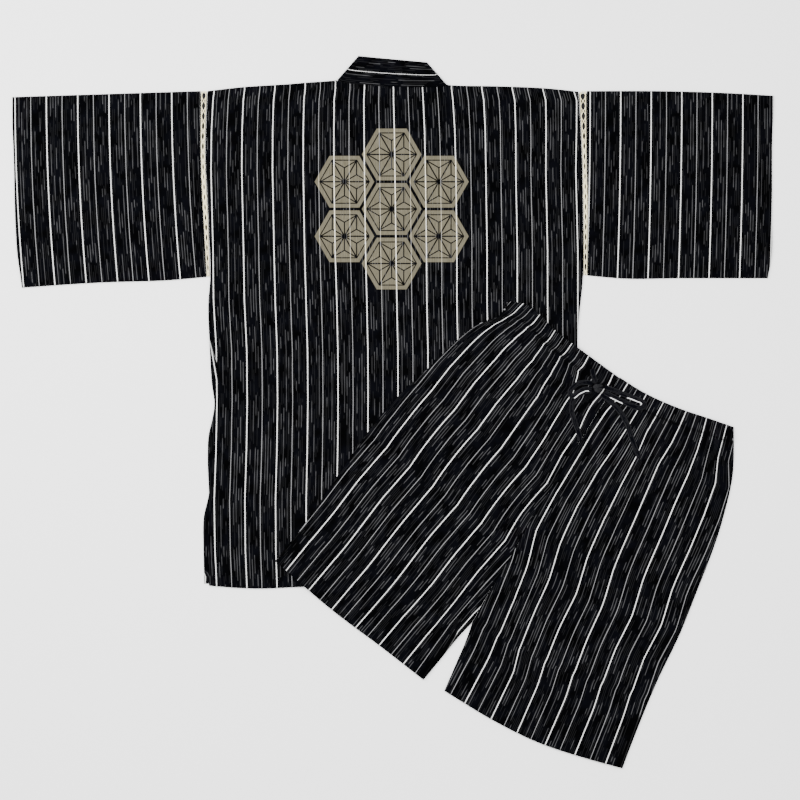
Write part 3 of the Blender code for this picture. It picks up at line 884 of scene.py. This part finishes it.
def front_plan(shoulder, side, arm):
    """Plan of a front: rows from the shoulder to the hem, from its side to the collar."""
    u, v = shares(FRONT_WIDTH, FRONT_GRID), shares(BODY_LENGTH, FRONT_GRID)
    edge = arm[[0, -1], 0] - (SEAM_GAP * np.sign(arm[0, 1, 0] - arm[0, 0, 0]), 0)
    inner, outer = along(edge, v), along(mm(side), v)
    top, foot = along((mm(shoulder), inner[0]), u), along((outer[-1], inner[-1]), u)
    return patch(top, foot, outer, inner, u, v)


def lay_jacket():
    """The jacket from the table up: ties, fronts, back, collar, then sleeves with their tapes."""
    arms = [collar_arm(CREASE_LEFT, 1), collar_arm(CREASE_RIGHT, -1)]
    lay_tie("tie_front", (74, 16), (262, -42))
    lay_tie("tie_side", (272, 66), (72, 96))
    pile.finish_tier()
    fronts = (
        ("front_left", SHOULDER_LEFT, FRONT_LEFT_SIDE, arms[0]),
        ("front_right", SHOULDER_RIGHT, BACK_RIGHT_SIDE, arms[1]),
    )
    heights = []
    for name, shoulder, side, arm in fronts:
        heights.append(pile.under(arm))
        plan = front_plan(shoulder, side, arm)
        hem = plan[..., 1] - plan[-1, :, 1]
        cloth = body_cloth(plan)
        if name == "front_left":
            cloth[..., 0] = plan[..., 0] - CORNER_STRIPE + CORNER_STEP * ramp(hem, 0.014, 0.022)
        piece = lay_flat(name, plan, cloth, COTTON, marks={"hem": hem})
        pile.add(raised(arm, heights[-1] + COLLAR_CLOTH))
        pile.finish_tier()
    lay_back()
    pile.finish_tier()
    lay_collar(arms, heights)
    for side, sleeve in (("left", SLEEVE_LEFT), ("right", SLEEVE_RIGHT)):
        lay_sleeve(side, sleeve)
    pile.finish_tier()


def near_tuck(length):
    """Places along a length, 0 to 1, that are close together over the width of the tuck."""
    start, end = np.arange(0, TUCK_WIDTH, TUCK_GRID) / length, TUCK_WIDTH / length
    return np.concatenate((start, end + (1 - end) * shares(length - TUCK_WIDTH)))


def lay_back():
    """The one-piece back, with the small tuck across its left edge below the armhole."""
    lines = SHOULDER_LINE_LEFT, (UNDER_LEFT, UNDER_RIGHT), SHOULDER_LINE_RIGHT
    top = [
        along(mm(line), places(np.ptp(mm(line)[:, 0])))
        for line, places in zip(lines, (near_tuck, shares, shares))
    ]
    top = np.concatenate((top[0], top[1][1:], top[2][1:]))
    u, v = (top[:, 0] - top[0, 0]) / np.ptp(top[:, 0]), shares(BODY_LENGTH)
    foot, left, right = along(mm(BACK_HEM), u), along(mm(BACK_LEFT_SIDE), v), along(mm(BACK_RIGHT_SIDE), v)
    plan = patch(top, foot, left, right, u, v)
    hem = plan[..., 1] - plan[-1, :, 1]
    edge = np.minimum(u, 1 - u)[None] * BODY_WIDTH
    relief = 0.0016 * billow(plan, 0.16, 3) * ramp(edge, 0.0, 0.05) * ramp(hem, 0, 0.05)
    relief = creased(plan, relief, BACK_CREASES)
    thick = CLOTH + HEM_CLOTH * turned(hem, HEM_DEPTH)
    beside, share = from_line(plan, *TUCK)
    # Painted shade under the tuck's fold: a band beside its line where the stripes are painted dark.
    tuck = bump(beside - 0.0004, 0.0017) * ramp(share, 1.1, 0.9) * ramp(share, -0.2, 0)
    marks = {"hem": hem, "tuck": tuck}
    piece = lay_flat("back", plan, body_cloth(plan), PRINTED, thick, relief, marks=marks)


def lay_collar(arms, heights):
    """One strip: up the left arm, round its crease, across the neck, and down the right arm."""
    left, right = arms[0][0], arms[1][0]
    u = shares(COLLAR_BAND)
    band = left[None] + (right - left)[None] * u[:, None, None]
    from_neckline = np.linspace(0, 1, band.shape[1])
    band[..., 1] -= COLLAR_SAG * np.sin(np.pi * u[:, None]) ** 0.4 * (1 - from_neckline)
    low = pile.under(band)
    way = (left - right) / np.linalg.norm(left - right, axis=-1, keepdims=True)
    faces = []
    for arm_extra, band_extra, inset in ((0.0, COLLAR_CLOTH, 0.0), (COLLAR_CLOTH, 0.0, COLLAR_CLOTH)):
        neck, ends = raised(band, low + band_extra), []
        for arm, under, side, at in zip(arms, heights, (1, -1), (0, -1)):
            below, above = (under[0] + arm_extra)[:, None], (low[at] + band_extra)[:, None]
            middle = arm[0] - side * way * (np.abs(above - below) / 2 + inset)
            started = raised(arm, under + arm_extra)
            started[0, :, :2] = neck[at, :, :2] = middle
            turn = bend(middle, side * way, below, above, (-75, -45, -15, 15, 45, 75))
            ends.append(np.concatenate((started[::-1], turn)))
        faces.append(np.concatenate((ends[0], neck, ends[1][::-1])))
    columns = faces[0].shape[1]
    step = np.linalg.norm(np.diff(faces[0][:, columns // 2], axis=0), axis=1)
    length = np.concatenate(((0,), np.cumsum(step)))
    across = (np.linspace(0, 1, columns) - 0.47) * COLLAR_WIDTH * 1.1
    cloth = np.stack(np.meshgrid(across, length), -1)
    piece = add_wall("collar", *faces, cloth, COTTON, marks={"thin": np.full(cloth.shape[:2], 0.0004)})
    pile.add(raised(band, low + COLLAR_CLOTH))


def lay_sleeve(side, sleeve):
    """A sleeve, folded along its top, and the openwork tape beside it."""
    u, v = shares(SLEEVE_DEPTH), shares(SLEEVE_DEPTH)
    names = "fold", "seam", "cuff", "armhole", "body"
    fold, seam, cuff, armhole, body = (mm(sleeve[name]) for name in names)
    plan = patch(along(fold, u), along(seam, u), along(cuff, v), along(armhole, v), u, v)
    first, lean, pitch = mm(sleeve["stripes"])
    across = plan[..., 0] - first - lean * v[:, None] ** 2
    cloth = np.stack((across / pitch * STRIPE, plan[..., 1]), -1)
    hem = np.broadcast_to(u * SLEEVE_LENGTH, plan.shape[:2])
    edge = np.minimum(np.minimum(u, 1 - u)[None], (1 - v)[:, None]) * SLEEVE_DEPTH
    waves, threads = sleeve["seeds"]
    loose = 0.0018 * billow(plan, 0.11, waves) * ramp(edge, 0, 0.03)
    piece, _ = lay_folded(f"sleeve_{side}", plan, cloth, 0.0, CLOTH, 0.0002 + loose, {"hem": hem})
    lay_tape(f"armhole_tape_{side}", armhole, body, threads)


def lay_tape(name, armhole, body, seed):
    """Openwork tape over the shoulder: two side threads, and two that cross between them in diamonds.

    A thread's place across the tape is the sine of its length over a diamond; where two cross, one
    lies above the other by the cosine, in turn. They are broader, and the holes smaller, half way
    down the armhole. Between the tape's two runs lies a dark strip, painted shade seen through the
    holes."""
    inwards = np.array((-np.sign(armhole[0, 0]), 0))
    run = TAPE_LENGTH / 2
    length = np.linspace(-run, run, TAPE_POINTS)
    share = np.abs(length) / run
    near, far = along(armhole, share) + inwards * 0.0012, along(body, share) - inwards * 0.0014
    gap = np.hypot(*(far - near).T)[:, None]
    spare = (far - near) * (1 - np.minimum(TAPE_SHARE, TAPE_WIDTH / gap)) / 2
    near, far = near + spare, far - spare
    round_top = np.clip(np.abs(length) / 0.0024, 0, 1)
    height = TAPE_HEIGHT + np.sign(length) * np.sin(round_top * np.pi / 2) * 0.0012
    drop = 0.0010 * (1 - np.sqrt(1 - (1 - round_top) ** 2))
    turn = length * np.pi / DIAMOND
    random = np.random.default_rng(seed)
    knots = np.linspace(-run, run, TAPE_KNOTS)
    spread = 2 * THREAD_RADIUS * (1 + 1.2 * bump(share - 0.52, 0.24))
    threads = [(np.full_like(turn, at), height, 2 * THREAD_RADIUS) for at in (0, 1)]
    for way in (1, -1):
        uneven = np.interp(length, knots, random.uniform(0.7, 1.3, TAPE_KNOTS))
        across, over = 0.5 + way * 0.5 * np.sin(turn), way * 0.0003 * np.cos(turn)
        threads.append((across, height + over, (spread * uneven)[:, None]))
    parts = []
    for across, z, width in threads:
        path = raised((near + (far - near) * across[:, None])[:, None], z[:, None])[:, 0]
        path[:, 1] += 0.0004 - drop
        parts.append(tube(path, width, 2 * THREAD_RADIUS, 6))
    threads_end = sum(len(faces) for _, faces, _ in parts)
    # The dark strip between the tape's two runs: painted shade seen through the holes.
    share = np.linspace(0.012, 0.995, SHADE_STRIP_ROWS)
    plan = np.stack((along(armhole, share), along(body, share)), 1)
    plan[:, :, 0] += np.array((0.0004, -0.0008)) * inwards[0]
    top, base = (raised(plan, TAPE_HEIGHT + half) for half in (SHADE_STRIP / 2, -SHADE_STRIP / 2))
    piece = add_mesh(name, *joined((*parts, wall(top, base, plan))), THREAD, "openwork_tape")
    piece.data.materials.append(TIE_COTTON)
    part = (np.arange(len(piece.data.polygons)) >= threads_end).astype(np.int32)
    piece.data.polygons.foreach_set("material_index", part)


# Shorts


def leg_plan(leg):
    """Plan of a leg's front half, (columns, rows, 2): column 0 is its side fold."""
    sewn, free = np.linspace(0, JOINED, 125), np.linspace(JOINED, 1, 32)[1:]
    rise = along(mm(RISE), sewn / JOINED)
    inner = np.concatenate((rise, along(mm(leg["inside"]), (free - JOINED) / (1 - JOINED))))
    inner = inner - SEAM_GAP * np.array(leg["inwards"])
    u, v = shares(LEG_WIDTH), np.concatenate((sewn, free))
    waist, hem = mm(leg["waist"]), mm(leg["hem"])
    waist[-1], hem[-1] = inner[0], inner[-1]
    plan = patch(along(waist, u), along(hem, u), along(mm(leg["side"]), v), inner, u, v)
    return plan.swapaxes(0, 1), u, v


def leg_cloth(leg, plan, u, v):
    """The cloth of a leg: U counts the bold stripes that the table places, and runs on at the same
    spacing past the first and the last of them."""
    places = np.array(leg["stripes"], float)
    width = np.linalg.norm(np.diff(plan, axis=0), axis=-1).sum(0)
    across = (1 - u if leg["from_rise"] else u)[:, None] * width[None]
    stripes = np.stack([np.interp(v, places[:, 0], column) for column in places[:, 1:].T], 1) / 1000
    first, last = stripes[:, :1], stripes[:, -1:]
    before = np.maximum(stripes[:, 1:2] - first, leg["before"] / 1000)
    after = last - stripes[:, -2:-1]
    knots = np.concatenate((first - 3 * before, stripes, last + 3 * after), 1)
    number = stripes.shape[1]
    counts = np.array((-3, *range(number), number + 2), float)
    turns = np.stack([np.interp(across[:, i], knots[i], counts) for i in range(len(v))], 1)
    return np.stack((turns * STRIPE, np.broadcast_to(-v * LEG_LENGTH, turns.shape)), -1)


def lay_leg(name, leg):
    """A leg folded at its side, its top the gathered casing, its foot a turned hem.

    The gathers are sine ridges down the leg, deepest at the casing, that fade out below it."""
    plan, u, v = leg_plan(leg)
    cloth = leg_cloth(leg, plan, u, v)
    depth, across = (v * LEG_LENGTH)[None], (u * LEG_WIDTH)[:, None]
    from_hem = LEG_LENGTH - depth
    casing = turned(depth, CASING_DEPTH)
    thick = CLOTH + (CASING_CLOTH - CLOTH) * casing + HEM_CLOTH * turned(from_hem, HEM_DEPTH)
    random = np.random.default_rng(leg["seed"])
    wander = np.interp(across, np.linspace(0, LEG_WIDTH, 12), random.uniform(-1, 1, 12))
    fold = 0.5 + 0.5 * np.sin(across * 2 * np.pi / GATHER + 2.2 * wander + depth * 6 * wander)
    tall = 0.6 + 0.4 * np.interp(across, np.linspace(0, LEG_WIDTH, 9), random.uniform(-1, 1, 9))
    gathers = 0.0017 * fold * tall * (0.75 * casing + ramp(depth, 0.075, 0.02) * (1 - casing))
    seam = ramp(depth, CASING_DEPTH - 0.004, CASING_DEPTH) * ramp(depth, CASING_DEPTH + 0.004, CASING_DEPTH)
    loose = 0.0022 * billow(plan, 0.13, leg["seed"]) * ramp(np.minimum(across, LEG_WIDTH - across), 0, 0.03)
    loose = loose * ramp(from_hem, 0, 0.03) * ramp(depth, 0, 0.08)
    open_by = creased(plan, 0.0004 + gathers * (1 - 0.8 * seam) + loose, leg["creases"])
    # Painted shade in the groove under the casing's seam, uneven across the leg. Near the free inside leg's
    # edge the cloth is painted dark as well.
    groove_shade = bump(depth - CASING_DEPTH, 0.0021)
    groove_shade = groove_shade * (0.62 + 0.38 * np.sin(across * 2 * np.pi / 0.013 + 3 * wander))
    from_inside = across if leg["from_rise"] else LEG_WIDTH - across
    inside = ramp(from_inside, 0.0125, 0.0095) * ramp(v, JOINED + 0.04, JOINED + 0.055)[None]
    marks = {
        "hem": np.minimum(from_hem, depth - CASING_DEPTH + HEM_DEPTH) + 0 * across,
        "tuck": np.maximum(groove_shade, 0.9 * inside),
    }
    piece, top = lay_folded(name, plan, cloth, pile.under(plan), thick, open_by, marks)
    pile.add(top)


def ribbon(route, above=0.0):
    """A flat string along its route on the pile. It comes back as (points, faces, uv, path)."""
    length = np.linalg.norm(np.diff(mm(route), axis=0), axis=1).sum()
    plan = along(mm(route), shares(length, 0.0018))
    height = pile.under(plan[:, None], 0.006)[:, 0] + STRING_THICKNESS / 2 + above
    path = np.concatenate((plan, height[:, None]), 1)
    return (*tube(path, STRING_WIDTH, STRING_THICKNESS, 16, 0.55), path)


def lay_bow():
    """The knot, both tails under it, and the two loops, which lie over the tails."""
    pile.finish_tier()
    knot = lay_knot()
    for name, route in STRING_ROUTES.items():
        if "loop_left" in name:
            pile.finish_tier()
        loop = "loop" in name
        points, faces, uv, path = ribbon(route)
        white = np.zeros(len(uv))
        for start, end, side in WHITE_EDGES.get(name, ()):
            share = uv[:, 1] / uv[-1, 1]
            white += uv[:, 0] * side * ramp(share, start - 0.03, start) * ramp(share, end + 0.03, end)
        piece = add_mesh(
            name, points, faces, uv, EDGED_COTTON if loop else TIE_COTTON, "tie_cloth", {"stripe": white}
        )
        pile.add(np.stack((path + (-0.003, 0, 0.001), path + (0.003, 0, 0.001)), 1))


def lay_knot():
    """The knot: an egg whose radius swells and sinks along a slanting turn, as the wraps of a flat
    tie do, and the short stretch of string that comes out of the casing to it."""
    centre = mm(KNOT)
    base = pile.under(centre[None, None], 0.008)[0, 0]
    sides, rings = KNOT_GRID
    turn = np.linspace(0, 2 * np.pi, sides, endpoint=False)
    turn, rise = np.meshgrid(turn, np.linspace(-1.5, 1.5, rings))
    wrap = 1 + 0.10 * np.sin(3 * turn + 2.2 * rise) + 0.05 * np.sin(7 * turn - 3 * rise)
    ring = np.stack((np.cos(turn) * np.cos(rise), np.sin(turn) * np.cos(rise), np.sin(rise)), -1)
    points = (ring * wrap[..., None]).reshape(-1, 3) * KNOT_RADII + (*centre, base + KNOT_RADII[2])
    uv = np.stack((turn * 0.006, rise * 0.006), -1).reshape(-1, 2)
    stem = ribbon(STEM, 0.0002)[:3]
    whole = joined(((points, ring_faces(rings, sides), uv), stem))
    return add_mesh("drawstring_knot", *whole, TIE_COTTON, "tie_cloth")


# Stage


def set_stage():
    """A pale floor, soft studio light from above and the upper left, and the camera straight above."""
    floor_mesh = bpy.data.meshes.new("floor")
    corners = np.array(((-4, -4, 0), (4, -4, 0), (4, 4, 0), (-4, 4, 0)), float)
    floor_mesh.from_pydata((corners - (0, 0, 0.0002)).tolist(), [], [(0, 1, 2, 3)])
    floor = bpy.data.objects.new("floor", floor_mesh)
    pale = Finish("pale_floor", 0.9)
    pale.shader.inputs["Base Color"].default_value = (0.86, 0.86, 0.86, 1)
    floor_mesh.materials.append(pale.material)
    bpy.context.scene.collection.objects.link(floor)
    for name, place, tilt, size, power in (
        ("light_above", (0, 0.2, 2.2), (-5, 0), 2.2, 105),
        ("light_left", (-1.6, 0.9, 1.5), (-22, -42), 1.2, 70),
    ):
        lamp = bpy.data.lights.new(name, "AREA")
        lamp.size, lamp.energy = size, power
        holder = bpy.data.objects.new(name, lamp)
        holder.location = place
        holder.rotation_euler = (*np.radians(tilt), 0)
        bpy.context.scene.collection.objects.link(holder)
    world = bpy.data.worlds.new("studio")
    world.use_nodes = True
    world.node_tree.nodes["Background"].inputs["Color"].default_value = (1, 1, 1, 1)
    world.node_tree.nodes["Background"].inputs["Strength"].default_value = 1.44
    bpy.context.scene.world = world
    lens = bpy.data.cameras.new("camera")
    lens.type, lens.ortho_scale = "ORTHO", VIEW_WIDTH
    camera = bpy.data.objects.new("camera", lens)
    camera.location = (*VIEW_MIDDLE, 2.0)
    bpy.context.scene.collection.objects.link(camera)
    bpy.context.scene.camera = camera


set_stage()
lay_jacket()
lay_leg("leg_right", LEG_RIGHT)
lay_leg("leg_left", LEG_LEFT)
lay_bow()
